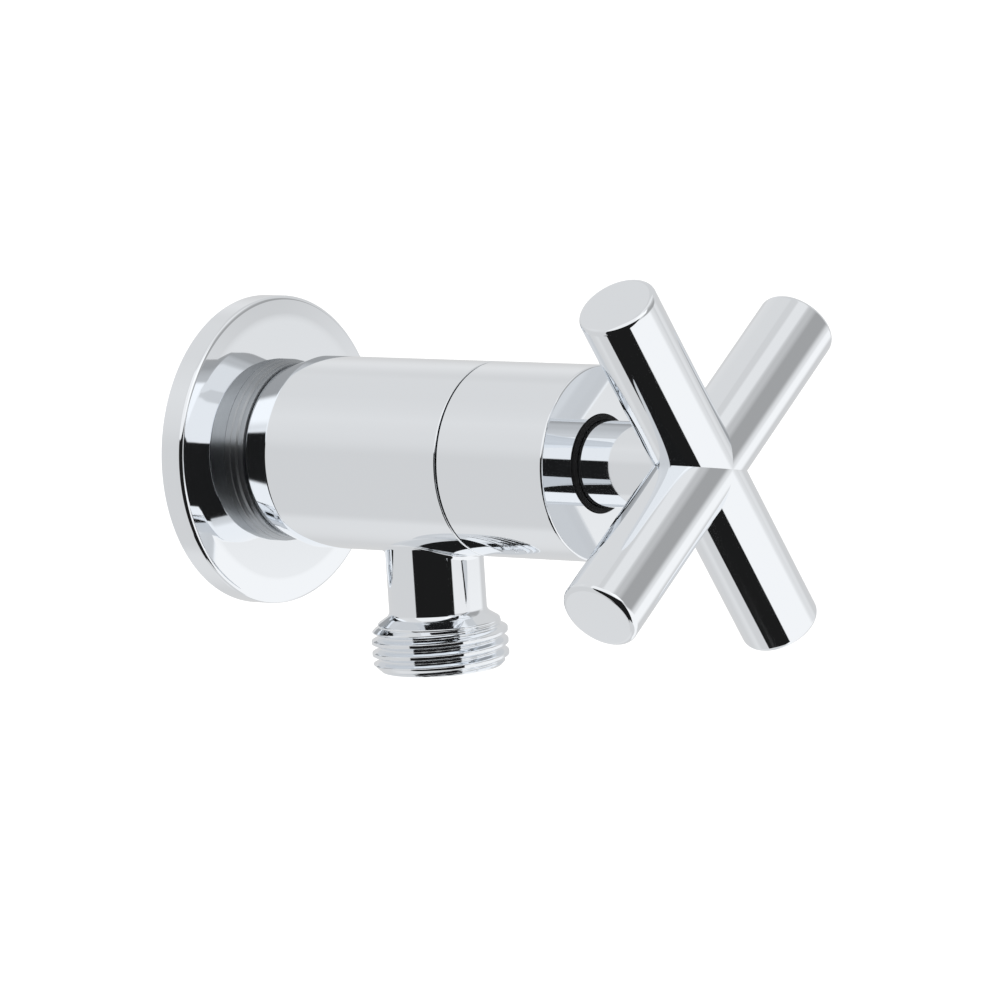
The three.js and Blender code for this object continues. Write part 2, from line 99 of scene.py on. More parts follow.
THREAD_MAJOR = 10.478
THREAD_ROOT = 9.316
THREAD_PITCH = 1.814
THREAD_CHAMFER = 1.2
THREAD_ROWS_PER_TURN = 26
THREAD_REACH = 0.45
THREAD_FLANK = 0.32
THREAD_FADE_IN = 0.6
THREAD_NECK_SLOPE = 0.9
END_FACE_RADIUS = 9
OUTLET_CREST = 28.8
INLET_CREST = -4

ARM_RADIUS = 6.05
ARM_REACH = 32.15
ARM_ROUND = 0.9
HANDLE_STATION = HANDLE_FRONT - ARM_RADIUS
HANDLE_TURN = math.radians(-11.1)
ARM_COLUMNS = (14, 28, 14, 56)
HUB_RADIUS = 6.5
HUB_BORE = 5.3
HUB_BORE_END = 78
GRUB_STATION = 70.5
GRUB_HOLE = 2.1

WASHER_HOLE = 1.9
JOURNAL_HOLE = 4.6
BEVEL = 0.2

# Round of a section's corner where none is given, the step aimed at along a round, and the least bend, in
# radians, that gets one.
EDGE = 0.12
ROUND_STEP = 0.1
LEAST_BEND = 1e-3

# Points in one cell of this size, in millimetres, are one point. The shift keeps round numbers off the
# edges of the cells. Corners whose normal leans further from their face than CREASE stay crisp. A face
# under LEAST_AREA has no direction, and an angle under TINY is none.
WELD = 2e-4
WELD_SHIFT = 0.377
CREASE = 0.75
LEAST_AREA = 1e-12
TINY = 1e-9


# ------------------------------------------------------------------ meshes from grids

class Axis:
    """A line with a start, a direction, and two directions across it from which angles are counted."""

    def __init__(self, origin, along, x, y):
        self.origin = np.array(origin, float)
        self.along = np.array(along, float)
        self.x = np.array(x, float)
        self.y = np.array(y, float)

    def radial(self, angle):
        """Unit vectors away from the axis, at these angles."""
        angle = np.asarray(angle, float)[..., None]
        return np.cos(angle) * self.x + np.sin(angle) * self.y

    def around(self, angle):
        """Unit vectors round the axis, at these angles."""
        angle = np.asarray(angle, float)[..., None]
        return np.cos(angle) * self.y - np.sin(angle) * self.x

    def place(self, angle, radius, station):
        """Points at these angles, radii and stations."""
        radius = np.asarray(radius, float)[..., None]
        station = np.asarray(station, float)[..., None]
        return self.origin + station * self.along + radius * self.radial(angle)

    def side(self, angle, station):
        """The axis of a branch that leaves this one square, at this angle and station."""
        origin = self.origin + station * self.along
        return Axis(origin, self.radial(angle), self.around(angle), -self.along)


VALVE = Axis((0, 0, 0), (0, -1, 0), (0, 0, -1), (1, 0, 0))


class Skin:
    """Grids of points and normals, in millimetres, welded into one closed mesh."""

    def __init__(self):
        self.points = []
        self.normals = []
        self.quads = []
        self.count = 0

    def grid(self, points, normals, wrap=False):
        """Adds a grid of rows and columns. wrap joins the last column to the first."""
        rows, columns = points.shape[:2]
        index = np.arange(rows * columns).reshape(rows, columns) + self.count
        if wrap:
            index = np.hstack([index, index[:, :1]])
        corners = [index[:-1, :-1], index[:-1, 1:], index[1:, 1:], index[1:, :-1]]
        self.quads.append(np.stack([c.ravel() for c in corners], axis=1))
        self.points.append(points.reshape(-1, 3))
        self.normals.append(np.broadcast_to(normals, points.shape).reshape(-1, 3))
        self.count += rows * columns

    def build(self, name):
        """Welds the grids, turns every face outward and gives each corner its exact normal."""
        points = np.vstack(self.points)
        normals = np.vstack(self.normals)
        quads = np.vstack(self.quads)
        a, b, c, d = (points[quads[:, k]] for k in range(4))
        facing = np.cross(c - a, d - b)
        inward = (facing * normals[quads].sum(axis=1)).sum(axis=1) < 0
        quads[inward] = quads[inward][:, ::-1]
        facing[inward] *= -1
        facing /= np.maximum(np.linalg.norm(facing, axis=1, keepdims=True), LEAST_AREA)
        corners = normals[quads]
        creased = (corners * facing[:, None]).sum(axis=2) < CREASE
        corners = np.where(creased[..., None], facing[:, None], corners)
        cells = np.floor(points / WELD + WELD_SHIFT)
        _, first, place = np.unique(cells, axis=0, return_index=True, return_inverse=True)
        place = place.ravel()
        faces, corner_normals = [], []
        for normal, spots in zip(corners, place[quads]):
            kept = [k for k in range(4) if spots[k] != spots[k - 1]]
            if len(kept) > 2 and len(set(spots[kept])) == len(kept):
                faces.append([int(spots[k]) for k in kept])
                corner_normals.extend(normal[kept])
        mesh = bpy.data.meshes.new(name)
        mesh.from_pydata(points[first] * MM, [], faces)
        mesh.polygons.foreach_set("use_smooth", [True] * len(faces))
        mesh.normals_split_custom_set(np.array(corner_normals))
        mesh.update()
        made = bpy.data.objects.new(name, mesh)
        bpy.context.scene.collection.objects.link(made)
        return made


def contour(corners, turn=0, closed=True):
    """Rounds the corners [radius, station, fillet] of a section. Returns its points and outward normals.

    turn is 1 if the outline runs counterclockwise and -1 if clockwise. An open outline has to say which.
    """
    spots = np.array([corner[:2] for corner in corners], float)
    after = np.roll(spots, -1, axis=0)
    turn = turn or np.sign((spots[:, 0] * after[:, 1] - after[:, 0] * spots[:, 1]).sum())
    points, normals = [], []

    def add(point, heading):
        points.append(point)
        normals.append(turn * np.array([heading[1], -heading[0]]))

    for i, spot in enumerate(spots):
        fillet = corners[i][2] if len(corners[i]) > 2 else EDGE
        came = heading_between(spots[i - 1], spot)
        goes = heading_between(spot, after[i])
        if not closed and i == 0:
            add(spot, goes)
            continue
        if not closed and i == len(spots) - 1:
            add(spot, came)
            continue
        bend = math.atan2(came[0] * goes[1] - came[1] * goes[0], came @ goes)
        if abs(bend) < LEAST_BEND:
            add(spot, came)
            continue
        side = math.copysign(1, bend)
        left = np.array([-came[1], came[0]])
        centre = spot - came * fillet * math.tan(abs(bend) / 2) + side * fillet * left
        steps = 3 + min(20, int(abs(bend) * fillet / ROUND_STEP))
        for step in range(steps + 1):
            angle = bend * step / steps
            heading = turned_by(came, angle)
            add(centre - side * fillet * np.array([-heading[1], heading[0]]), heading)
    return np.array(points), np.array(normals)


def heading_between(start, end):
    """Unit vector from one point of a section to another."""
    step = np.asarray(end, float) - np.asarray(start, float)
    size = np.linalg.norm(step)
    return step / size if size else step


def turned_by(heading, angle):
    """A vector of a section turned counterclockwise."""
    c, s = math.cos(angle), math.sin(angle)
    return np.array([c * heading[0] - s * heading[1], s * heading[0] + c * heading[1]])


def even_angles(count):
    """Angles evenly spaced round a full turn."""
    return np.arange(count) * TAU / count


def revolve(skin, axis, section, angles, closed):
    """Adds the surface that a section sweeps round an axis."""
    points, normals = section
    if closed:
        points = np.vstack([points, points[:1]])
        normals = np.vstack([normals, normals[:1]])
    radial = axis.radial(angles)[None]
    places = axis.place(angles[None], points[:, :1], points[:, 1:])
    facing = normals[:, :1, None] * radial + normals[:, 1:, None] * axis.along
    skin.grid(places, facing, wrap=True)


def sweep_radius(skin, axis, radius, angles, stations):
    """Adds the surface whose radius is a smooth function of angle and station."""
    angle, station = np.meshgrid(angles, stations)
    here = radius(angle, station)
    turn, step = 0.012, 0.7 * abs(stations[1] - stations[0])
    by_angle = (radius(angle + turn, station) - radius(angle - turn, station)) / (2 * turn)
    by_station = (radius(angle, station + step) - radius(angle, station - step)) / (2 * step)
    normals = axis.radial(angle) - (by_angle / here)[..., None] * axis.around(angle)
    normals = normals - by_station[..., None] * axis.along
    normals /= np.linalg.norm(normals, axis=-1, keepdims=True)
    skin.grid(axis.place(angle, here, station), normals, wrap=True)


def lathe(skin, axis, angles, turn, corners):
    """Adds the surface that an open section sweeps round an axis."""
    revolve(skin, axis, contour(corners, turn, closed=False), angles, False)


def tube(skin, axis, angles, radius, ends, sign=1):
    """Adds a straight round wall between two outlines, facing away from the axis if sign is 1."""
    stations = np.stack([np.broadcast_to(np.asarray(end, float), angles.shape) for end in ends])
    radii = np.full(stations.shape, float(radius))
    both = np.stack([angles, angles])
    skin.grid(axis.place(both, radii, stations), sign * axis.radial(angles)[None], wrap=True)


def face_between(skin, axis, angles, inner, outer, station, sign):
    """Adds a flat face between two outlines about an axis, facing forward if sign is 1."""
    radii = np.stack([np.broadcast_to(np.asarray(row, float), angles.shape) for row in (inner, outer)])
    both = np.stack([angles, angles])
    skin.grid(axis.place(both, radii, np.full(radii.shape, float(station))), sign * axis.along, wrap=True)


def turned(name, corners, count, closed=True):
    """A piece turned about the valve's axis. An open section has both ends on the axis."""
    skin = Skin()
    revolve(skin, VALVE, contour(corners, closed=closed), even_angles(count), closed)
    return skin.build(name)


# ------------------------------------------------------------------ side holes and threads

def hole_loop(radius, offsets):
    """The square round a side hole, as offsets round the tube and along it, and the angle of each spot."""
    across = radius * offsets
    half = across[-1]
    loop = [(u, -half) for u in across[:0:-1]]
    loop += [(-half, v) for v in across[:-1]]
    loop += [(u, half) for u in across[:-1]]
    loop += [(half, v) for v in across[:0:-1]]
    loop = np.array(loop)
    return loop, np.arctan2(-loop[:, 1], loop[:, 0])


def holed_band(skin, axis, radius, angles, columns, station, hole, blend, outward):
    """A stretch of tube wall with a round side hole at angles[0]. Returns the hole's angles and its band.

    The wall joins the tube's own columns. blend is the radius of the fillet round an outer hole.
    """
    count = len(angles)
    near = np.array([angles[k % count] - angles[0] for k in range(-columns, columns + 1)])
    offsets = np.arctan2(np.sin(near), np.cos(near))
    stations = station + radius * offsets
    far_angles = angles[columns:count - columns + 1]
    angle, level = np.meshgrid(far_angles, stations)
    skin.grid(axis.place(angle, np.full(angle.shape, radius), level), outward * axis.radial(angle))

    loop, theta = hole_loop(radius, offsets)
    wide = hole + blend
    across = radius * np.arcsin(wide * np.cos(theta) / (radius + blend))
    rim = np.stack([across, -wide * np.sin(theta)], axis=1)
    share = np.linspace(0, 1, 12)[:, None, None]
    spots = (1 - share) * loop + share * rim
    angle = angles[0] + spots[..., 0] / radius
    places = axis.place(angle, np.full(angle.shape, radius), station + spots[..., 1])
    skin.grid(places, outward * axis.radial(angle), wrap=True)
    return theta, stations[0], stations[-1]


def hole_blend(skin, branch, tube_radius, hole, blend, theta):
    """The fillet between a tube and its branch. Returns how far out along the branch it ends."""
    wide = hole + blend
    out = np.sqrt((tube_radius + blend) ** 2 - (wide * np.cos(theta)) ** 2)
    centres = branch.place(theta, np.full(theta.shape, wide), out)
    on_branch = branch.place(theta, np.full(theta.shape, float(hole)), out)
    tube_line = branch.origin + (centres - branch.origin) @ branch.y[:, None] * branch.y
    on_tube = tube_line + (centres - tube_line) * tube_radius / (tube_radius + blend)
    start, end = (on_tube - centres) / blend, (on_branch - centres) / blend
    spread = np.arccos(np.clip((start * end).sum(axis=1), -1, 1))[:, None]
    rows = []
    for share in np.linspace(0, 1, 9):
        rows.append((np.sin((1 - share) * spread) * start + np.sin(share * spread) * end) / np.sin(spread))
    arms = np.stack(rows)
    skin.grid(centres + blend * arms, -arms, wrap=True)
    return out


def thread_height(turns):
    """Height of a thread, from 0 at the root to 1 at the crest, with the crest at whole turns."""
    away = np.abs((turns + 0.5) % 1 - 0.5)
    flank = np.clip((THREAD_REACH - away) / THREAD_FLANK, 0, 1)
    return 0.5 * flank + 0.5 * flank * flank * (3 - 2 * flank)


def thread_radius(crest_station, hand, end, start, start_radius):
    """Radius of an external pipe thread as a function of angle and station.

    The thread is bevelled at its open end and grows out of a plain neck at its start.
    """
    inward = math.copysign(1, start - end)

    def radius(angle, station):
        from_end = (station - end) * inward
        from_start = (start - station) * inward
        turns = (station - crest_station) / THREAD_PITCH + hand * angle / TAU
        grown = np.clip(from_start / (THREAD_FADE_IN * THREAD_PITCH), 0, 1)
        ridge = THREAD_ROOT + (THREAD_MAJOR - THREAD_ROOT) * thread_height(turns) * grown
        neck = np.maximum(start_radius - from_start * THREAD_NECK_SLOPE, THREAD_ROOT)
        bevel = THREAD_MAJOR - THREAD_CHAMFER + from_end
        return np.minimum(np.maximum(ridge, neck), bevel)

    return radius


def threaded_end(skin, axis, radius, angles, start, end):
    """A thread from its start to its open end, with the outer part of the flat end face."""
    rows = int(abs(end - start) / THREAD_PITCH * THREAD_ROWS_PER_TURN)
    sweep_radius(skin, axis, radius, angles, np.linspace(start, end, rows))
    forward = math.copysign(1, end - start)
    face_between(skin, axis, angles, radius(angles, end), END_FACE_RADIUS, end, forward)


# ------------------------------------------------------------------ outer pieces

def wall_flange():
    """The round flange: a thin shell whose face falls away slightly towards the rounded rim."""
    hole = THREAD_MAJOR + FLANGE_HOLE_PLAY
    inside = FLANGE_RADIUS - FLANGE_WALL
    rim_front = FLANGE_FACE - FLANGE_CROWN
    return turned("wall_flange_shell", [
        [inside, WALL, 0.1],
        [FLANGE_RADIUS, WALL, 0.2],
        [FLANGE_RADIUS, rim_front, FLANGE_ROUND],
        [FLANGE_RADIUS - FLANGE_CROWN_WIDTH, FLANGE_FACE, FLANGE_CROWN_ROUND],
        [hole, FLANGE_FACE, 0.15],
        [hole, FLANGE_FACE - FLANGE_WALL, 0.1],
        [inside, rim_front - FLANGE_WALL, 0.9],
    ], 224)


def flange_collar():
    """The satin ring between the flange and the body, with two fine steps towards the body."""
    bore = NECK_RADIUS + PLAY
    back = FLANGE_FACE + 0.02
    low, lowest = (COLLAR_RADIUS - depth for depth in COLLAR_STEP_DEPTHS)
    return turned("collar_ring", [
        [bore, back, 0.1],
        [COLLAR_RADIUS, back, 0.03],
        [COLLAR_RADIUS, COLLAR_STEPS[0], 0.05],
        [low, COLLAR_STEPS[0] + COLLAR_STEP_SLOPES[0], 0.05],
        [low, COLLAR_STEPS[1], 0.08],
        [lowest, COLLAR_STEPS[1] + COLLAR_STEP_SLOPES[1], 0.08],
        [lowest, COLLAR_FRONT, 0.1],
        [bore, COLLAR_FRONT, 0.1],
    ], 192)


def valve_body():
    """Barrel, wall tail and outlet spout, with their waterways."""
    skin = Skin()
    angles = even_angles(192)
    columns = 21
    pocket, bore, throat = 8.2, 7.6, 5.2
    seat_pocket, chamber = 8.3, 11
    web_back, seat_back, chamber_back = 17, 20, 25
    pocket_end, mouth_end = INLET_END + 2, SPOUT_END - 2
    tail_start = 0.9
    thread_start = SPOUT_LIP + 0.2

    theta, back, front = holed_band(
        skin, VALVE, BODY_RADIUS, angles, columns, SPOUT_STATION, SPOUT_RADIUS, SPOUT_BLEND, 1)
    _, inner_back, inner_front = holed_band(
        skin, VALVE, chamber, angles, columns, SPOUT_STATION, SPOUT_BORE, 0, -1)

    # Front rim.
    lathe(skin, VALVE, angles, -1, [
        [chamber, inner_front],
        [chamber, SEAM, 0.2],
        [BODY_RADIUS, SEAM, SEAM_ROUND],
        [BODY_RADIUS, front],
    ])
    # Shoulder and neck.
    lathe(skin, VALVE, angles, -1, [
        [BODY_RADIUS, back],
        [BODY_RADIUS, SHOULDER_FRONT, 1.2],
        [SHOULDER_RADIUS, SHOULDER_BACK, 0.25],
        [NECK_RADIUS, SHOULDER_BACK, 0.2],
        [NECK_RADIUS, tail_start],
    ])
    tail = thread_radius(INLET_CREST, -1, INLET_END, tail_start, NECK_RADIUS)
    threaded_end(skin, VALVE, tail, angles, tail_start, INLET_END)
    # Waterway.
    lathe(skin, VALVE, angles, -1, [
        [END_FACE_RADIUS, INLET_END],
        [pocket, INLET_END, 0.1],
        [pocket, pocket_end, 0.1],
        [bore, pocket_end, 0.1],
        [bore, web_back, 0.5],
        [throat, web_back, 0.2],
        [throat, seat_back, 0.1],
        [seat_pocket, seat_back, 0.1],
        [seat_pocket, chamber_back, 0.1],
        [chamber, chamber_back, 0.3],
        [chamber, inner_back],
    ])

    branch = VALVE.side(0, SPOUT_STATION)
    out = hole_blend(skin, branch, BODY_RADIUS, SPOUT_RADIUS, SPOUT_BLEND, theta)
    straight = BODY_RADIUS + SPOUT_BLEND + 0.3
    tube(skin, branch, theta, SPOUT_RADIUS, (out, straight))
    # The spout's flare.
    lathe(skin, branch, theta, 1, [
        [SPOUT_RADIUS, straight],
        [SPOUT_RADIUS, SPOUT_FLARE, 1.3],
        [SPOUT_LIP_RADIUS, SPOUT_LIP, 0.25],
        [SPOUT_LIP_RADIUS, thread_start],
    ])
    outlet = thread_radius(OUTLET_CREST, 1, SPOUT_END, thread_start, SPOUT_LIP_RADIUS)
    threaded_end(skin, branch, outlet, theta, thread_start, SPOUT_END)
    inner_out = np.sqrt(chamber ** 2 - (SPOUT_BORE * np.cos(theta)) ** 2)
    # The spout's mouth.
    lathe(skin, branch, theta, 1, [
        [END_FACE_RADIUS, SPOUT_END],
        [SPOUT_BORE, SPOUT_END, 0.5],
        [SPOUT_BORE, mouth_end],
    ])
    tube(skin, branch, theta, SPOUT_BORE, (mouth_end, inner_out), -1)
    return skin.build("valve_body_casting")


def front_sleeve():
    """The sleeve that carries the barrel on to the handle, with a round hole in its face."""
    bore = SLEEVE_RADIUS - SLEEVE_WALL
    return turned("sleeve_shell", [
        [bore, SLEEVE_BACK, 0.15],
        [SLEEVE_RADIUS, SLEEVE_BACK, SEAM_ROUND],
        [SLEEVE_RADIUS, SLEEVE_FRONT, 0.35],
        [HUB_HOLE, SLEEVE_FRONT, 0.15],
        [HUB_HOLE, SLEEVE_FRONT - SLEEVE_WALL, 0.1],
        [bore, SLEEVE_FRONT - SLEEVE_WALL, 0.4],
    ], 224)


def hub_guide_ring():
    """The black bush round the hub, in the sleeve's hole."""
    inner = HUB_RADIUS + GUIDE_PLAY
    outer = HUB_HOLE - 0.03
    step = SLEEVE_FRONT - SLEEVE_WALL - GUIDE_PLAY
    front = SLEEVE_FRONT + GUIDE_PROUD
    return turned("guide_bush", [
        [inner, GUIDE_BACK, 0.2],
        [GUIDE_RADIUS, GUIDE_BACK, 0.2],
        [GUIDE_RADIUS, step, 0.2],
        [outer, step, 0.1],
        [outer, front, 0.3],
        [inner, front, 0.15],
    ], 160)


def arm_columns():
    """Angles round one arm, with a column exactly where the crease meets the hub."""
    corner = math.acos(HUB_RADIUS / math.sqrt(2) / ARM_RADIUS)
    stops = [0, corner, math.pi - corner, math.pi, TAU]
    parts = [np.linspace(a, b, n, endpoint=False) for a, b, n in zip(stops, stops[1:], ARM_COLUMNS)]
    return np.concatenate(parts)


def arm_start(angle):
    """How far from the centre an arm's surface starts: at the mitre, or at the hub behind."""
    lateral = np.abs(ARM_RADIUS * np.cos(angle))
    at_hub = np.sqrt(np.maximum(HUB_RADIUS ** 2 - lateral ** 2, 0))
    return np.where(np.sin(angle) > TINY, np.maximum(lateral, at_hub), lateral)


def handle_arm(skin, direction):
    """One arm of the cross from its mitre to its rounded end."""
    along = np.array([math.cos(direction), 0, math.sin(direction)])
    lateral = np.array([-math.sin(direction), 0, math.cos(direction)])
    arm = Axis((0, -HANDLE_STATION, 0), along, lateral, (0, 1, 0))
    angle = arm_columns()
    start = arm_start(angle)
    share = np.linspace(0, 1, 10)[:, None]
    straight = ARM_REACH - ARM_ROUND
    stations = start + (straight - start) * share
    radii = np.full(stations.shape, ARM_RADIUS)
    angles = np.broadcast_to(angle, stations.shape)
    skin.grid(arm.place(angles, radii, stations), arm.radial(angle)[None], wrap=True)
    end = contour([
        [ARM_RADIUS, straight - 1],
        [ARM_RADIUS, ARM_REACH, ARM_ROUND],
        [0, ARM_REACH],
    ], 1, closed=False)
    revolve(skin, arm, (end[0][1:], end[1][1:]), angle, False)


def cross_handle():
    """Four arms and the hub in one casting, bored for the insert, with a hole for the grub screw."""
    skin = Skin()
    directions = [HANDLE_TURN + math.pi / 4 + k * math.pi / 2 for k in range(4)]
    for direction in directions:
        handle_arm(skin, direction)
    first, across = ARM_COLUMNS[:2]
    on_hub = arm_columns()[first:first + across + 1]
    forward = (HANDLE_STATION - ARM_RADIUS * np.sin(on_hub))[::-1]
    bend = np.arcsin(ARM_RADIUS * np.cos(on_hub) / HUB_RADIUS)[::-1]
    grub_arm = directions[3]
    quarters = grub_arm + np.arange(4)[:, None] * math.pi / 2
    angles = (quarters + bend[:-1]).ravel()
    centre = int(np.argmin(np.abs(angles - grub_arm)))
    angles = np.roll(angles, -centre) + math.pi / 2
    fronts = np.roll(np.tile(forward[:-1], 4), -centre)
    columns = 9
    theta, back, front = holed_band(
        skin, VALVE, HUB_RADIUS, angles, columns, GRUB_STATION, GRUB_HOLE, 0, 1)
    holed_band(skin, VALVE, HUB_BORE, angles, columns, GRUB_STATION, GRUB_HOLE, 0, -1)
    inner_half = HUB_BORE * (front - GRUB_STATION) / HUB_RADIUS
    tube(skin, VALVE, angles, HUB_RADIUS, (front, fronts))
    # The hub's rear end.
    lathe(skin, VALVE, angles, -1, [
        [HUB_RADIUS, back],
        [HUB_RADIUS, HUB_BACK, 0.25],
        [HUB_BORE, HUB_BACK, 0.25],
        [HUB_BORE, GRUB_STATION - inner_half],
    ])
    # The blind end of its bore.
    lathe(skin, VALVE, angles, -1, [
        [HUB_BORE, GRUB_STATION + inner_half],
        [HUB_BORE, HUB_BORE_END, 0.4],
        [0, HUB_BORE_END],
    ])
    branch = VALVE.side(angles[0], GRUB_STATION)
    lateral = GRUB_HOLE * np.cos(theta)
    ends = [np.sqrt(radius ** 2 - lateral ** 2) for radius in (HUB_RADIUS, HUB_BORE)]
    tube(skin, branch, theta, GRUB_HOLE, ends, -1)
    return skin.build("cross_handle_casting")


# ------------------------------------------------------------------ prisms and threads inside

# A bevelled prism's flat end is a circle of this share of its size across flats, reached at this slope.
BEVEL_SHARE = 0.97
BEVEL_SLOPE = math.radians(30)


def faceted(skin, axis, sides, flats, back, front, turn, outward=1, bevels=(False, False)):
    """The sides of a prism, with a flat facing turn. A bevelled end narrows to a circle.

    Returns the angles of its columns, and the radius of each end's outline at those angles.
    """
    half = math.pi / sides
    local = np.linspace(-half, half, 9)
    radius = flats / 2 / np.cos(local)
    circle = flats / 2 * BEVEL_SHARE
    drop = np.maximum(radius - circle, 0) * math.tan(BEVEL_SLOPE)
    low = back + (drop if bevels[0] else 0 * drop)
    high = front - (drop if bevels[1] else 0 * drop)
    angles = []
    for k in range(sides):
        middle = turn + 2 * k * half
        angle = middle + local
        angles.extend(angle[:-1])
        both = np.stack([angle, angle])
        skin.grid(
            axis.place(both, np.stack([radius, radius]), np.stack([low, high])),
            outward * axis.radial(middle)[None])
        for bevelled, edge, end, sign in ((bevels[0], low, back, -1), (bevels[1], high, front, 1)):
            if bevelled:
                cone = math.sin(BEVEL_SLOPE) * axis.radial(angle)
                cone = cone + sign * math.cos(BEVEL_SLOPE) * axis.along
                radii = np.stack([radius, np.full(angle.shape, min(circle, radius.min()))])
                stations = np.stack([edge, np.full(angle.shape, float(end))])
                skin.grid(axis.place(both, radii, stations), cone[None])
    angles = np.array(angles)
    outline = flats / 2 / np.cos((angles - turn + half) % (2 * half) - half)
    ends = [np.full(angles.shape, circle) if bevelled else outline for bevelled in bevels]
    return angles, ends[0], ends[1]


def ridged(core, crest, pitch, back, front, bevel):
    """Radius of a right-handed thread between two stations, bevelled at both ends."""
    def radius(angle, station):
        turns = station / pitch - angle / TAU
        full = core + (crest - core) * thread_height(turns)
        ends = np.minimum(station - back, front - station)
        return np.minimum(full, crest - bevel + np.maximum(ends, 0))

    return radius


# ------------------------------------------------------------------ pieces inside and behind

def plain_ring(node, name, inner, rounds, count):
    """A ring that fills a node round a hole of this radius. Its rounds start at the inner back corner."""
    radius, back, front = reach(node)
    spots = [(inner, back), (radius, back), (radius, front), (inner, front)]
    return turned(name, [[*spot, fillet] for spot, fillet in zip(spots, rounds)], count)


def flange_gasket():
    """The soft ring between the flange and the wall."""
    width = 3
    inner = reach("flange_gasket")[0] - width
    return plain_ring("flange_gasket", "wall_gasket", inner, (0.4, 0.4, 0.7, 0.7), 192)


def holed_cell(skin, stations, band, angles, centre_radius, hole):
    """A sector of a flat disc, between two radii and over these angles, with a round hole through it."""
    middle = (angles[0] + angles[-1]) / 2
    full = abs(angles[-1] - angles[0] - TAU) < TINY
    if full:
        loop = [(band[1], a) for a in angles[:-1]]
    else:
        radii = np.linspace(band[0], band[1], 5)
        loop = [(band[0], a) for a in angles[:-1]] + [(r, angles[-1]) for r in radii[:-1]]
        loop += [(band[1], a) for a in angles[:0:-1]] + [(r, angles[0]) for r in radii[:0:-1]]
    outline = np.array([(r * math.sin(a), r * math.cos(a)) for r, a in loop])
    centre = centre_radius * np.array([math.sin(middle), math.cos(middle)])
    away = outline - centre
    away /= np.linalg.norm(away, axis=1, keepdims=True)
    rim = centre + hole * away
    share = np.linspace(0, 1, 4)[:, None, None]
    spots = (1 - share) * outline + share * rim

    def placed(flat, station):
        return np.stack([flat[..., 0], np.full(flat.shape[:-1], -station), flat[..., 1]], axis=-1)

    for station, sign in ((stations[0], -1), (stations[1], 1)):
        skin.grid(placed(spots, station), sign * VALVE.along, wrap=True)
    wall = np.stack([placed(rim, stations[0]), placed(rim, stations[1])])
    inward = np.stack([-away[:, 0], np.zeros(len(away)), -away[:, 1]], axis=-1)
    skin.grid(wall, inward[None], wrap=True)


def inlet_strainer():
    """The dirt strainer in the wall end: a rimmed cup with a perforated floor."""
    skin = Skin()
    rim, rear, front = reach("inlet_strainer")
    wall, floor = 0.7, 0.8
    outer = rim - 0.6
    pocket = rear + 1.4
    columns = 96
    angles = np.linspace(0, TAU, columns + 1)
    hole, spacing = 0.75, 2.3
    for ring, count in enumerate((1, 6, 12)):
        band = (max(ring - 0.5, 0) * spacing, (ring + 0.5) * spacing)
        per = columns // count
        for k in range(count):
            sector = angles[k * per:(k + 1) * per + 1]
            holed_cell(skin, (front - floor, front), band, sector, ring * spacing, hole)
    edge = band[1]
    swapped = Axis((0, 0, 0), VALVE.along, (0, 0, 1), (1, 0, 0))
    lathe(skin, swapped, angles[:-1], -1, [
        [edge, front],
        [outer, front, 0.25],
        [outer, pocket, 0.1],
        [rim, pocket, 0.15],
        [rim, rear, 0.15],
        [outer - wall, rear, 0.3],
        [outer - wall, front - floor, 0.3],
        [edge, front - floor],
    ])
    return skin.build("strainer_cup")


def valve_seat():
    """The seat ring, with the raised lip that the washer closes on."""
    radius, back, front = reach("valve_seat")
    throat, lip, lip_back = 5, 6.3, front - 1.7
    return turned("seat_ring", [
        [throat, back, 0.15], [radius, back, 0.2], [radius, lip_back, 0.2],
        [lip, lip_back, 0.2], [lip, front, 0.45], [throat, front, 0.45]], 128)


def tap_washer():
    """The flat rubber washer."""
    return plain_ring("tap_washer", "washer_disc", WASHER_HOLE, (0.2, 0.4, 0.4, 0.2), 128)


def jumper_valve():
    """The plate that holds the washer, with its stud behind and its stem in front."""
    radius, back, front = reach("jumper_valve")
    stud, stem, thick = 1.6, 2.5, 2.4
    plate_front = front - 8
    return turned("jumper_plate", [
        [0, back], [stud, back, 0.3], [stud, plate_front - thick, 0.15],
        [radius, plate_front - thick, 0.25], [radius, plate_front, 0.5],
        [stem, plate_front, 0.5], [stem, front, 0.5], [0, front]], 128, closed=False)


def washer_nut():
    """The hexagon nut that holds the washer on its stud."""
    skin = Skin()
    _, back, front = reach("washer_nut")
    hole, mouth = WASHER_HOLE, WASHER_HOLE + BEVEL
    angles, rear, fore = faceted(skin, VALVE, 6, 6.4, back, front, math.pi / 6, 1, (True, True))
    face_between(skin, VALVE, angles, mouth, rear, back, -1)
    face_between(skin, VALVE, angles, mouth, fore, front, 1)
    lathe(skin, VALVE, angles, -1, [
        [mouth, front],
        [hole, front - BEVEL, 0.05],
        [hole, back + BEVEL, 0.05],
        [mouth, back],
    ])
    return skin.build("washer_hexagon")


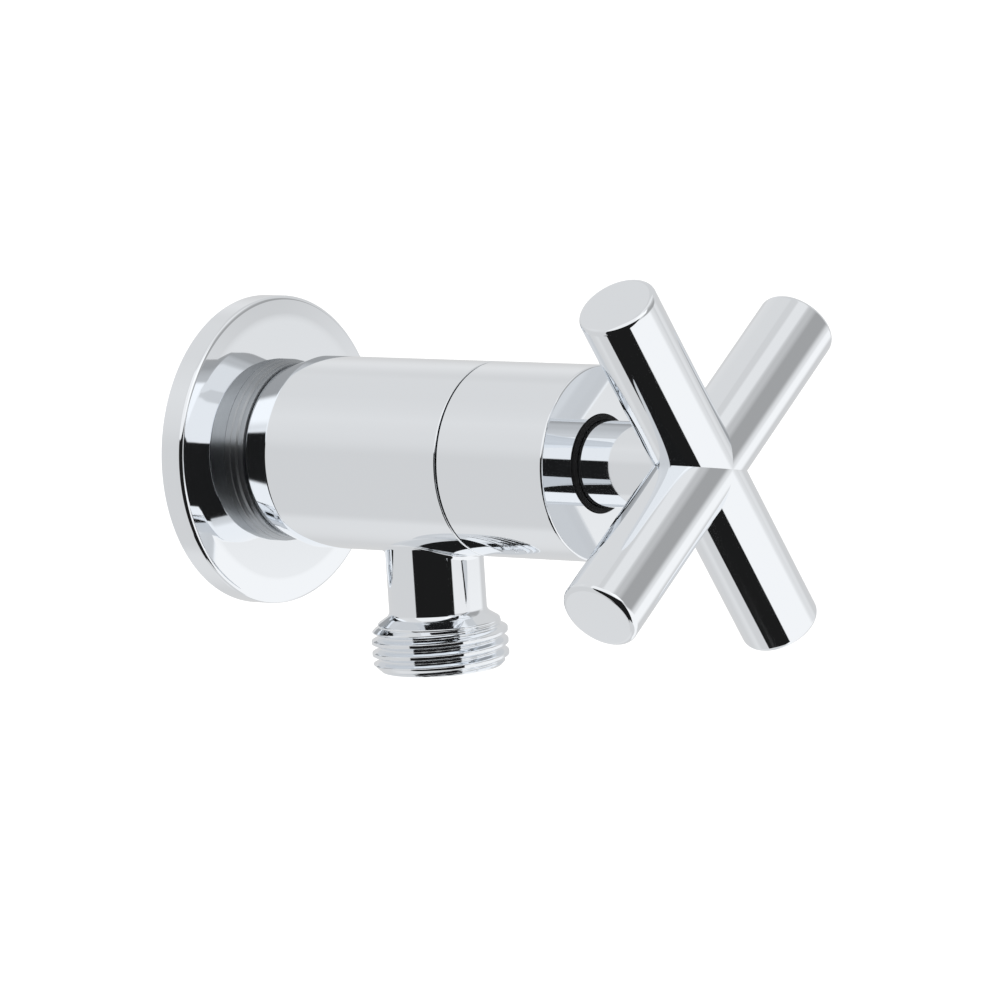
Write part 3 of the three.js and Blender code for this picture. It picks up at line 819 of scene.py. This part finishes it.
def bonnet():
    """The headwork: a threaded cover on the body, with a hexagon and the stuffing box tower."""
    skin = Skin()
    _, back, tower_front = reach("bonnet")
    flange_back, thick, hexagon = 47.6, 2.8, 3.2
    flange_front = flange_back + thick
    flange, skirt, bore, tower, box, box_bottom = 12.3, 10.7, 5.3, 8, 6.9, 54.2
    middle, half, groove = flange_back + thick / 2, 0.85, 11.1
    hexagon_front = flange_front + hexagon
    angles, rear, fore = faceted(
        skin, VALVE, 6, 19, flange_front, hexagon_front, math.pi / 6, 1, (False, True))
    face_between(skin, VALVE, angles, rear, flange - BEVEL, flange_front, 1)
    face_between(skin, VALVE, angles, tower + 0.3, fore, hexagon_front, 1)
    lathe(skin, VALVE, angles, -1, [
        [flange - BEVEL, flange_front],
        [flange, flange_front - BEVEL, 0.1],
        [flange, middle + half, 0.1],
        [groove, middle + half, 0.15],
        [groove, middle - half, 0.15],
        [flange, middle - half, 0.1],
        [flange, flange_back, 0.15],
        [skirt, flange_back, 0.3],
        [skirt, back, 0.5],
        [bore, back, 0.5],
        [bore, box_bottom, 0.3],
        [box, box_bottom, 0.2],
        [box, tower_front, 0.3],
        [tower, tower_front, 0.4],
        [tower, hexagon_front + 0.3, 0.3],
        [tower + 0.3, hexagon_front],
    ])
    return skin.build("bonnet_headwork")


def bonnet_gasket():
    """The red fibre ring under the bonnet."""
    return plain_ring("bonnet_gasket", "fibre_ring", 11, (EDGE,) * 4, 160)


def spindle():
    """The spindle: collar, lifting thread, journal and the square that carries the handle."""
    skin = Skin()
    collar, back, end = reach("spindle")
    socket, socket_front, collar_front = 2.8, 41.3, back + 1
    thread, thread_back, thread_front = 5, collar_front + 0.6, 49.5
    journal, square_back = 4.3, 62.6
    angles, rear, fore = faceted(
        skin, VALVE, 4, 5.6, square_back, end, HANDLE_TURN + 0.75 * math.pi, 1, (False, True))
    face_between(skin, VALVE, angles, rear, journal - BEVEL, square_back, 1)
    face_between(skin, VALVE, angles, 0, fore, end, 1)
    lathe(skin, VALVE, angles, 1, [
        [journal, thread_front + 0.3],
        [journal, square_back - BEVEL, 0.1],
        [journal - BEVEL, square_back],
    ])
    rise = ridged(journal - 0.05, thread, 2, thread_back, thread_front, 0.8)
    sweep_radius(skin, VALVE, rise, angles, np.linspace(thread_back, thread_front, 150))
    face_between(skin, VALVE, angles, journal, rise(angles, thread_front), thread_front, 1)
    tube(skin, VALVE, angles, journal, (thread_front, thread_front + 0.3))
    face_between(skin, VALVE, angles, journal, rise(angles, thread_back), thread_back, -1)
    lathe(skin, VALVE, angles, 1, [
        [0, socket_front],
        [socket, socket_front, 0.3],
        [socket, back, 0.3],
        [collar, back, 0.25],
        [collar, collar_front, 0.25],
        [journal, collar_front, 0.1],
        [journal, thread_back],
    ])
    return skin.build("rising_spindle")


def packing_washer():
    """The brass washer under the packing."""
    return plain_ring("packing_washer", "box_washer", JOURNAL_HOLE, (0.15,) * 4, 128)


def gland_packing():
    """The graphited packing."""
    return plain_ring("gland_packing", "packing_ring", JOURNAL_HOLE, (0.6,) * 4, 128)


def gland_follower():
    """The brass ring that the gland nut bears on."""
    return plain_ring("gland_follower", "follower_ring", JOURNAL_HOLE, (0.2,) * 4, 128)


def gland_nut():
    """The hexagon cap that presses the packing down."""
    skin = Skin()
    _, back, front = reach("gland_nut")
    bore, hole, wall = 8.3, JOURNAL_HOLE, 1
    angles, rear, fore = faceted(skin, VALVE, 6, 18, back, front, math.pi / 6, 1, (False, True))
    face_between(skin, VALVE, angles, bore + BEVEL, rear, back, -1)
    face_between(skin, VALVE, angles, hole + BEVEL, fore, front, 1)
    lathe(skin, VALVE, angles, -1, [
        [bore + BEVEL, back],
        [bore, back + BEVEL, 0.1],
        [bore, front - wall, 0.3],
        [hole, front - wall, 0.1],
        [hole, front - BEVEL, 0.05],
        [hole + BEVEL, front],
    ])
    return skin.build("gland_hexagon")


def sleeve_o_ring():
    """The O-ring that centres the sleeve on the bonnet."""
    radius, back, front = reach("sleeve_o_ring")
    section = front - back
    return plain_ring("sleeve_o_ring", "sleeve_seal", radius - section, (section / 2 - 0.005,) * 4, 160)


def handle_grub_screw():
    """The socket screw that locks the handle, standing in its hole in the hub."""
    skin = Skin()
    direction = HANDLE_TURN - math.pi / 4
    axis = VALVE.side(direction + math.pi / 2, GRUB_STATION)
    inner, outer, radius, deep = 3.1, 6.2, 1.8, 1.6
    angles, floor, mouth = faceted(skin, axis, 6, 1.7, outer - deep, outer, 0, -1)
    face_between(skin, axis, angles, 0, floor, outer - deep, 1)
    thread = ridged(radius - 0.28, radius, 0.5, inner, outer, 0.3)
    sweep_radius(skin, axis, thread, angles, np.linspace(inner, outer, 90))
    face_between(skin, axis, angles, mouth, thread(angles, outer), outer, 1)
    face_between(skin, axis, angles, 0, thread(angles, inner), inner, -1)
    return skin.build("grub_socket_screw")


# ------------------------------------------------------------------ materials

# Fractal noise seldom leaves this range.
NOISE_RANGE = (0.3, 0.7)


class Look:
    """A material under construction: a Principled shader and short ways to wire up what varies over it."""

    def __init__(self, name, colour, metallic, roughness):
        self.material = bpy.data.materials.new(name)
        self.material.use_nodes = True
        self.nodes = self.material.node_tree.nodes
        self.links = self.material.node_tree.links
        self.shader = self.nodes["Principled BSDF"]
        self.shader.inputs["Base Color"].default_value = (*colour, 1)
        self.shader.inputs["Metallic"].default_value = metallic
        self.shader.inputs["Roughness"].default_value = roughness
        self.place = self.nodes.new("ShaderNodeTexCoord").outputs["Object"]

    def noise(self, scale, detail, place=None):
        """Fractal noise over the object's own coordinates, or over the given ones."""
        noise = self.nodes.new("ShaderNodeTexNoise")
        noise.inputs["Scale"].default_value = scale
        noise.inputs["Detail"].default_value = detail
        self.links.new(place or self.place, noise.inputs["Vector"])
        return noise.outputs["Fac"]

    def round_axis(self):
        """Distance from the valve's axis and station as coordinates, the same all round a turned piece."""
        parts = self.nodes.new("ShaderNodeSeparateXYZ")
        self.links.new(self.place, parts.inputs[0])
        flat = self.nodes.new("ShaderNodeCombineXYZ")
        self.links.new(parts.outputs["X"], flat.inputs["X"])
        self.links.new(parts.outputs["Z"], flat.inputs["Y"])
        length = self.nodes.new("ShaderNodeVectorMath")
        length.operation = "LENGTH"
        self.links.new(flat.outputs[0], length.inputs[0])
        out = self.nodes.new("ShaderNodeCombineXYZ")
        self.links.new(length.outputs["Value"], out.inputs["X"])
        self.links.new(parts.outputs["Y"], out.inputs["Y"])
        return out.outputs[0]

    def vary(self, socket, source, low, high):
        """Drives a number between low and high as the source goes through the noise's usual range."""
        spread = self.nodes.new("ShaderNodeMapRange")
        spread.inputs["From Min"].default_value = NOISE_RANGE[0]
        spread.inputs["From Max"].default_value = NOISE_RANGE[1]
        spread.inputs["To Min"].default_value = low
        spread.inputs["To Max"].default_value = high
        self.links.new(source, spread.inputs["Value"])
        self.links.new(spread.outputs["Result"], self.shader.inputs[socket])

    def tint(self, source, low, high):
        """Drives the colour between two colours as the source goes through the noise's usual range."""
        ramp = self.nodes.new("ShaderNodeValToRGB")
        ramp.color_ramp.elements[0].position = NOISE_RANGE[0]
        ramp.color_ramp.elements[1].position = NOISE_RANGE[1]
        ramp.color_ramp.elements[0].color = (*low, 1)
        ramp.color_ramp.elements[1].color = (*high, 1)
        self.links.new(source, ramp.inputs["Fac"])
        self.links.new(ramp.outputs["Color"], self.shader.inputs["Base Color"])

    def bump(self, source, depth):
        """Raises the surface by the source, by up to this many millimetres."""
        bump = self.nodes.new("ShaderNodeBump")
        bump.inputs["Distance"].default_value = depth * MM
        bump.inputs["Strength"].default_value = 1
        self.links.new(source, bump.inputs["Height"])
        self.links.new(bump.outputs["Normal"], self.shader.inputs["Normal"])


def chrome():
    """Bright chrome plate, with a trace of ripple left by polishing."""
    look = Look("bright_chrome", (0.905, 0.93, 0.96), 1, 0.04)
    look.vary("Roughness", look.noise(90, 5), 0.025, 0.06)
    look.bump(look.noise(260, 2), 0.0006)
    return look.material


def satin():
    """Satin plate, turned: its fine rings blur reflections along the valve's axis but not round it."""
    look = Look("satin_plate", (0.43, 0.45, 0.475), 1, 0.34)
    rings = look.noise(9000, 2, look.round_axis())
    look.tint(rings, (0.42, 0.44, 0.46), (0.44, 0.46, 0.48))
    look.vary("Roughness", look.noise(400, 2), 0.32, 0.36)
    look.shader.inputs["Anisotropic"].default_value = 0.9
    look.shader.inputs["Anisotropic Rotation"].default_value = 0.25
    tangent = look.nodes.new("ShaderNodeTangent")
    tangent.direction_type = "RADIAL"
    tangent.axis = "Y"
    look.links.new(tangent.outputs["Tangent"], look.shader.inputs["Tangent"])
    return look.material


def machined(name, dull, bright, rough):
    """Turned metal: fine rings round the axis and a slightly uneven tone."""
    look = Look(name, bright, 1, rough)
    look.tint(look.noise(220, 5), dull, bright)
    look.vary("Roughness", look.noise(700, 4), rough - 0.07, rough + 0.1)
    look.bump(look.noise(5200, 3, look.round_axis()), 0.012)
    return look.material


def moulded(name, dark, light, rough, grain, depth, metallic=0):
    """A moulded or pressed material with a fine grain."""
    look = Look(name, light, metallic, rough)
    look.tint(look.noise(grain / 6, 4), dark, light)
    look.vary("Roughness", look.noise(grain / 2, 3), rough - 0.08, rough + 0.08)
    look.bump(look.noise(grain, 5), depth)
    return look.material


LOOKS = {
    "chrome": chrome(),
    "satin": satin(),
    "brass": machined("turned_brass", (0.54, 0.36, 0.12), (0.74, 0.54, 0.23), 0.26),
    "steel": machined("turned_steel", (0.44, 0.45, 0.46), (0.62, 0.63, 0.64), 0.26),
    "black": moulded("black_bush", (0.002, 0.002, 0.003), (0.005, 0.005, 0.006), 0.85, 2400, 0.006),
    "ivory": moulded("ivory_acetal", (0.72, 0.69, 0.6), (0.8, 0.78, 0.7), 0.42, 1500, 0.004),
    "rubber": moulded("black_rubber", (0.011, 0.011, 0.012), (0.024, 0.024, 0.025), 0.72, 3200, 0.012),
    "fibre": moulded("red_fibre", (0.24, 0.05, 0.03), (0.4, 0.1, 0.065), 0.85, 2600, 0.02),
    "graphite": moulded(
        "graphite_packing", (0.02, 0.021, 0.022), (0.06, 0.062, 0.066), 0.55, 1800, 0.05, 0.3),
}


# ------------------------------------------------------------------ the pieces, and what each stands for

PIECES = [
    (wall_flange, "wall_flange", "body", "chrome"),
    (flange_gasket, "flange_gasket", "body", "rubber"),
    (flange_collar, "flange_collar", "body", "satin"),
    (inlet_strainer, "inlet_strainer", "body", "steel"),
    (valve_body, "valve_body", "body", "chrome"),
    (valve_seat, "valve_seat", "body", "steel"),
    (bonnet, "bonnet", "body", "brass"),
    (bonnet_gasket, "bonnet_gasket", "body", "fibre"),
    (packing_washer, "packing_washer", "body", "brass"),
    (gland_packing, "gland_packing", "body", "graphite"),
    (gland_follower, "gland_follower", "body", "brass"),
    (gland_nut, "gland_nut", "body", "brass"),
    (front_sleeve, "front_sleeve", "body", "chrome"),
    (sleeve_o_ring, "sleeve_o_ring", "body", "rubber"),
    (hub_guide_ring, "hub_guide_ring", "body", "black"),
    (tap_washer, "tap_washer", "valve_plate", "rubber"),
    (jumper_valve, "jumper_valve", "valve_plate", "brass"),
    (washer_nut, "washer_nut", "valve_plate", "brass"),
    (spindle, "spindle", "handle", "brass"),
    (cross_handle, "cross_handle", "handle", "chrome"),
    (handle_grub_screw, "handle_grub_screw", "handle", "steel"),
]

for build, node, body, finish in PIECES:
    piece = build()
    piece.data.materials.append(LOOKS[finish])
    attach(piece, body)
    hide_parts(node)

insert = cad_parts["spline_insert"]
insert.data.materials.clear()
insert.data.materials.append(LOOKS["ivory"])


# ------------------------------------------------------------------ studio

CAMERA_TURN = math.radians(-51.391)
CAMERA_RISE = math.radians(8.219)
CAMERA_ROLL = math.radians(3.716)
CAMERA_DISTANCE = 1.031
CAMERA_LENS = 244.4
CAMERA_SENSOR = 36
CAMERA_SIGHT = 100
CAMERA_AIM = (5.144, -6.818)
AIM_STATION = 40

FLOOR_DROP = 0.1
FLOOR_SIZE = 60
SKY_LEVEL = 1.3
TENT_RADIUS = 4
TENT_GRID = (720, 361)

# Panels of the light tent, laid over one another in this order: azimuth from the front towards +X,
# elevation, half width, half height and edge softness in degrees, then the level of light.
TENT_LEVEL = 0.68
TENT_PANELS = [
    (-150, 52, 60, 40, 14, 0.735),
    (-146, 34, 10, 8, 26, 0.79),
    (138, 28, 14, 10, 22, 0.79),
    (172, -61, 24, 16, 16, 0.78),
    (55, -5, 25, 8, 6, 0.79),
    (40, -39, 75, 30.3, 5, 0.98),
    (100, -8, 22, 30, 16, 0.66),
    (20, 66, 60, 12, 6, 0.83),
    (33, 42, 30, 8.5, 9, 0.55),
    (33, 17.5, 28, 18, 12, 0.38),
    (-60, 36.5, 48, 23.5, 3, 0.93),
    (-12, 32, 22, 15, 7, 1.08),
    (-75, -60, 51, 10.5, 1.5, 0.012),
    (-58, -28.5, 46, 41.5, 1.5, 0.012),
]


def unit(azimuth, elevation):
    """The direction at this azimuth from the front and this elevation, in radians."""
    return np.stack([
        np.sin(azimuth) * np.cos(elevation),
        -np.cos(azimuth) * np.cos(elevation),
        np.sin(elevation) + 0 * azimuth,
    ], axis=-1)


def light_tent():
    """A dome of light panels round the object. Only reflections show it."""
    columns, rows = TENT_GRID
    azimuth, elevation = np.meshgrid(
        np.linspace(-math.pi, math.pi, columns + 1), np.linspace(-math.pi / 2, math.pi / 2, rows))
    level = np.full(azimuth.shape, TENT_LEVEL)
    for centre, height, wide, tall, soft, bright in TENT_PANELS:
        across = np.abs((np.degrees(azimuth) - centre + 180) % 360 - 180) - wide
        above = np.abs(np.degrees(elevation) - height) - tall
        outside = np.maximum(across, above)
        share = np.clip(0.5 - outside / soft, 0, 1)
        share = share * share * (3 - 2 * share)
        level = level * (1 - share) + bright * share
    points = (TENT_RADIUS * unit(azimuth, elevation)).reshape(-1, 3)
    index = np.arange(points.shape[0]).reshape(azimuth.shape)
    corners = [index[:-1, :-1], index[:-1, 1:], index[1:, 1:], index[1:, :-1]]
    mesh = bpy.data.meshes.new("light_tent")
    mesh.from_pydata(points, [], np.stack([c.ravel() for c in corners], axis=1).tolist())
    shade = mesh.attributes.new("level", "FLOAT", "POINT")
    shade.data.foreach_set("value", level.ravel())
    tent = bpy.data.objects.new("light_tent", mesh)
    material = bpy.data.materials.new("tent_cloth")
    material.use_nodes = True
    nodes, links = material.node_tree.nodes, material.node_tree.links
    nodes.clear()
    glow = nodes.new("ShaderNodeEmission")
    read = nodes.new("ShaderNodeAttribute")
    read.attribute_name = "level"
    out = nodes.new("ShaderNodeOutputMaterial")
    links.new(read.outputs["Fac"], glow.inputs["Strength"])
    links.new(glow.outputs[0], out.inputs["Surface"])
    material.cycles.emission_sampling = "NONE"
    mesh.materials.append(material)
    bpy.context.scene.collection.objects.link(tent)
    tent.visible_camera = False
    tent.visible_diffuse = False
    tent.visible_shadow = False


def pale_floor():
    """A plain white floor under the valve."""
    half = FLOOR_SIZE / 2
    low = -(SPOUT_END * MM) - FLOOR_DROP
    mesh = bpy.data.meshes.new("studio_floor")
    corners = [(-half, -half, low), (half, -half, low), (half, half, low), (-half, half, low)]
    mesh.from_pydata(corners, [], [(0, 1, 2, 3)])
    floor = bpy.data.objects.new("studio_floor", mesh)
    look = Look("white_floor", (0.92, 0.92, 0.92), 0, 0.9)
    mesh.materials.append(look.material)
    bpy.context.scene.collection.objects.link(floor)
    floor.visible_glossy = False


def sky():
    """Even white light from all round, for the floor and everything that isn't polished."""
    world = bpy.data.worlds.new("white_room")
    bpy.context.scene.world = world
    world.use_nodes = True
    background = world.node_tree.nodes["Background"]
    background.inputs["Color"].default_value = (1, 1, 1, 1)
    background.inputs["Strength"].default_value = SKY_LEVEL


def camera():
    """The camera, at the angle from which the valve is shown."""
    turn, rise, roll = CAMERA_TURN, CAMERA_RISE, CAMERA_ROLL
    back = Vector((math.sin(turn) * math.cos(rise), -math.cos(turn) * math.cos(rise), math.sin(rise)))
    right = Vector((math.cos(turn), math.sin(turn), 0))
    up = back.cross(right)
    aim = Vector((0, -AIM_STATION, 0)) + CAMERA_AIM[0] * right + CAMERA_AIM[1] * up
    lens = bpy.data.cameras.new("camera")
    lens.sensor_width = CAMERA_SENSOR
    lens.lens = CAMERA_LENS
    lens.clip_end = CAMERA_SIGHT
    eye = bpy.data.objects.new("camera", lens)
    across = math.cos(roll) * right - math.sin(roll) * up
    upward = math.sin(roll) * right + math.cos(roll) * up
    eye.matrix_world = Matrix.Translation(aim * MM + back * CAMERA_DISTANCE) @ Matrix(
        (across, upward, back)).transposed().to_4x4()
    bpy.context.scene.collection.objects.link(eye)
    bpy.context.scene.camera = eye


light_tent()
pale_floor()
sky()
camera()
bpy.context.scene.view_settings.view_transform = "Standard"

bpy.context.view_layer.update()
